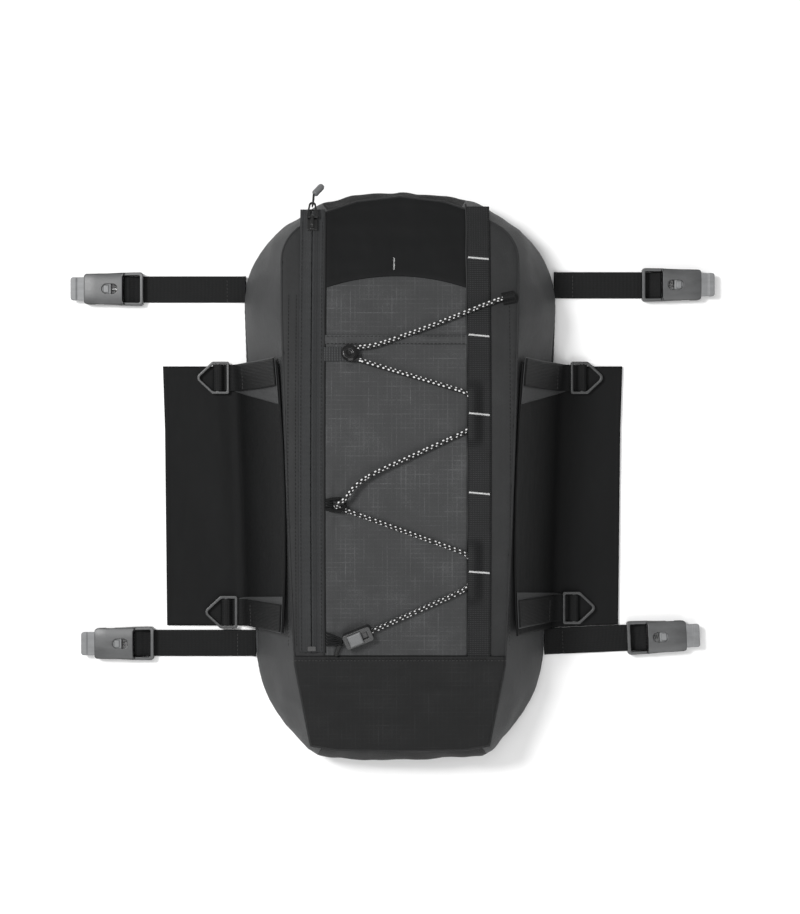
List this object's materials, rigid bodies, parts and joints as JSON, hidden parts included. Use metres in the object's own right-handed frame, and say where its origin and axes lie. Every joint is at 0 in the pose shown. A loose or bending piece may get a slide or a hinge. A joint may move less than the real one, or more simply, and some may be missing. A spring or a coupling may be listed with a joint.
{
  "type": "deck bag",
  "caption": "Low padded deck bag with a curved front, long side zip, stretch cord over a pocket, flat side wings and webbing straps with gated snap clips.",
  "frame": {"origin": "middle of the whole footprint, straps included, on the plane that the back panel rests on", "axes": "+Z away from the deck through the front face, +Y towards the bag's top end, +X across it towards the daisy chain side"},
  "size_m": [0.609, 0.5365, 0.1313],
  "materials": {
    "back_fabric": "coarse black woven nylon",
    "foam": "closed cell foam sheet",
    "coated_fabric": "smooth coated dark grey fabric",
    "wing_fabric": "smooth coated black fabric",
    "ripstop": "dark grey ripstop nylon with a fine grid",
    "top_fabric": "smooth black fabric",
    "binding": "woven edge binding",
    "webbing": "black ribbed webbing",
    "zip_tape": "coated matt zip tape",
    "zip_teeth": "moulded coil",
    "thread": "white bar tack thread",
    "shock_cord": "black braid with white reflective flecks",
    "dark_plastic": "satin moulded acetal",
    "light_plastic": "light grey moulded acetal",
    "black_metal": "black lacquered",
    "spring_steel": "bright wire"
  },
  "bodies": {
    "bag": {"back_panel": "back_fabric", "foam_sheet": "foam", "side_wall": "coated_fabric", "edge_piping": "binding", "front_panel": "ripstop", "top_panel": "top_fabric", "center_pocket": "ripstop", "pocket_hem": "binding", "bottom_pocket": "ripstop", "zip_tapes": "zip_tape", "zip_chain": "zip_teeth", "zip_stops": "zip_teeth", "daisy_chain": "webbing", "bar_tacks": "thread", "cord_anchor_tab": "webbing", "hook_tab": "webbing", "cord_hook": "dark_plastic", "mid_cord_loop": "webbing", "lower_cord_loop": "webbing", "shock_cord": "shock_cord", "cord_lock_body": "dark_plastic"},
    "lock_button": {"cord_lock_button": "light_plastic"},
    "zip_slider": {"zip_slider": "black_metal"},
    "zip_pull": {"pull_ring": "black_metal", "pull_cord": "webbing", "pull_tip": "light_plastic"},
    "left_wing": {"left_wing": "wing_fabric", "left_gussets": "ripstop", "left_tabs": "webbing"},
    "right_wing": {"right_wing": "wing_fabric", "right_gussets": "ripstop", "right_tabs": "webbing"},
    "lock_ul": {"ladder_lock_ul": "dark_plastic", "lock_webbing_ul": "webbing"},
    "strap_ul": {"strap_ul": "webbing", "clip_housing_ul": "dark_plastic", "gate_spring_ul": "spring_steel"},
    "gate_ul": {"clip_gate_ul": "light_plastic"},
    "lock_ll": {"ladder_lock_ll": "dark_plastic", "lock_webbing_ll": "webbing"},
    "strap_ll": {"strap_ll": "webbing", "clip_housing_ll": "dark_plastic", "gate_spring_ll": "spring_steel"},
    "gate_ll": {"clip_gate_ll": "light_plastic"},
    "lock_ur": {"ladder_lock_ur": "dark_plastic", "lock_webbing_ur": "webbing"},
    "strap_ur": {"strap_ur": "webbing", "clip_housing_ur": "dark_plastic", "gate_spring_ur": "spring_steel"},
    "gate_ur": {"clip_gate_ur": "light_plastic"},
    "lock_lr": {"ladder_lock_lr": "dark_plastic", "lock_webbing_lr": "webbing"},
    "strap_lr": {"strap_lr": "webbing", "clip_housing_lr": "dark_plastic", "gate_spring_lr": "spring_steel"},
    "gate_lr": {"clip_gate_lr": "light_plastic"}
  },
  "joints": [
    {"name": "left_wing_fold", "type": "hinge", "parent": "bag", "child": "left_wing", "pos_m": [-0.09655, 0.017, 0.114], "axis": [-0.0346, 0.9994, 0], "range_deg": [0, 110]},
    {"name": "right_wing_fold", "type": "hinge", "parent": "bag", "child": "right_wing", "pos_m": [0.11055, 0.017, 0.114], "axis": [-0.0346, -0.9994, 0], "range_deg": [0, 110]},
    {"name": "upper_left_ladder_lock_flip", "type": "hinge", "parent": "left_wing", "child": "lock_ul", "pos_m": [-0.1543, 0.092, 0.0047], "axis": [0, 1, 0], "range_deg": [0, 60]},
    {"name": "lower_left_ladder_lock_flip", "type": "hinge", "parent": "left_wing", "child": "lock_ll", "pos_m": [-0.14662, -0.13, 0.0047], "axis": [0, 1, 0], "range_deg": [0, 60]},
    {"name": "upper_right_ladder_lock_flip", "type": "hinge", "parent": "right_wing", "child": "lock_ur", "pos_m": [0.1683, 0.092, 0.0047], "axis": [0, -1, 0], "range_deg": [0, 60]},
    {"name": "lower_right_ladder_lock_flip", "type": "hinge", "parent": "right_wing", "child": "lock_lr", "pos_m": [0.16076, -0.126, 0.0047], "axis": [0, -1, 0], "range_deg": [0, 60]},
    {"name": "upper_left_strap_fold", "type": "hinge", "parent": "bag", "child": "strap_ul", "pos_m": [-0.1392, 0.176, 0.006], "axis": [0, 1, 0], "range_deg": [0, 90]},
    {"name": "upper_left_gate_slide", "type": "slide", "parent": "strap_ul", "child": "gate_ul", "axis": [1, 0, 0], "range_m": [0, 0.0065], "stiffness_N_per_m": 300, "springref_m": -0.008, "deforming": ["gate_spring_ul"]},
    {"name": "lower_left_strap_fold", "type": "hinge", "parent": "bag", "child": "strap_ll", "pos_m": [-0.1294, -0.1595, 0.006], "axis": [0, 1, 0], "range_deg": [0, 90]},
    {"name": "lower_left_gate_slide", "type": "slide", "parent": "strap_ll", "child": "gate_ll", "axis": [1, 0, 0], "range_m": [0, 0.0065], "stiffness_N_per_m": 300, "springref_m": -0.008, "deforming": ["gate_spring_ll"]},
    {"name": "upper_right_strap_fold", "type": "hinge", "parent": "bag", "child": "strap_ur", "pos_m": [0.153, 0.18, 0.006], "axis": [0, -1, 0], "range_deg": [0, 90]},
    {"name": "upper_right_gate_slide", "type": "slide", "parent": "strap_ur", "child": "gate_ur", "axis": [-1, 0, 0], "range_m": [0, 0.0065], "stiffness_N_per_m": 300, "springref_m": -0.008, "deforming": ["gate_spring_ur"]},
    {"name": "lower_right_strap_fold", "type": "hinge", "parent": "bag", "child": "strap_lr", "pos_m": [0.1436, -0.158, 0.006], "axis": [0.0436, -0.999, 0], "range_deg": [0, 90]},
    {"name": "lower_right_gate_slide", "type": "slide", "parent": "strap_lr", "child": "gate_lr", "axis": [-0.999, -0.0436, 0], "range_m": [0, 0.0065], "stiffness_N_per_m": 300, "springref_m": -0.008, "deforming": ["gate_spring_lr"]},
    {"name": "zip_travel", "type": "hinge", "parent": "bag", "child": "zip_slider", "pos_m": [-0.0735, 0.002, -0.543], "axis": [1, 0, 0], "range_deg": [0, 33]},
    {"name": "zip_pull_flip", "type": "hinge", "parent": "zip_slider", "child": "zip_pull", "pos_m": [-0.0735, 0.23726, 0.08211], "axis": [1, 0, 0], "range_deg": [0, 150]},
    {"name": "cord_lock_slide", "type": "slide", "parent": "bag", "child": "lock_button", "axis": [0.9205, 0.3809, 0.0869], "range_m": [0, 0.005]}
  ]
}
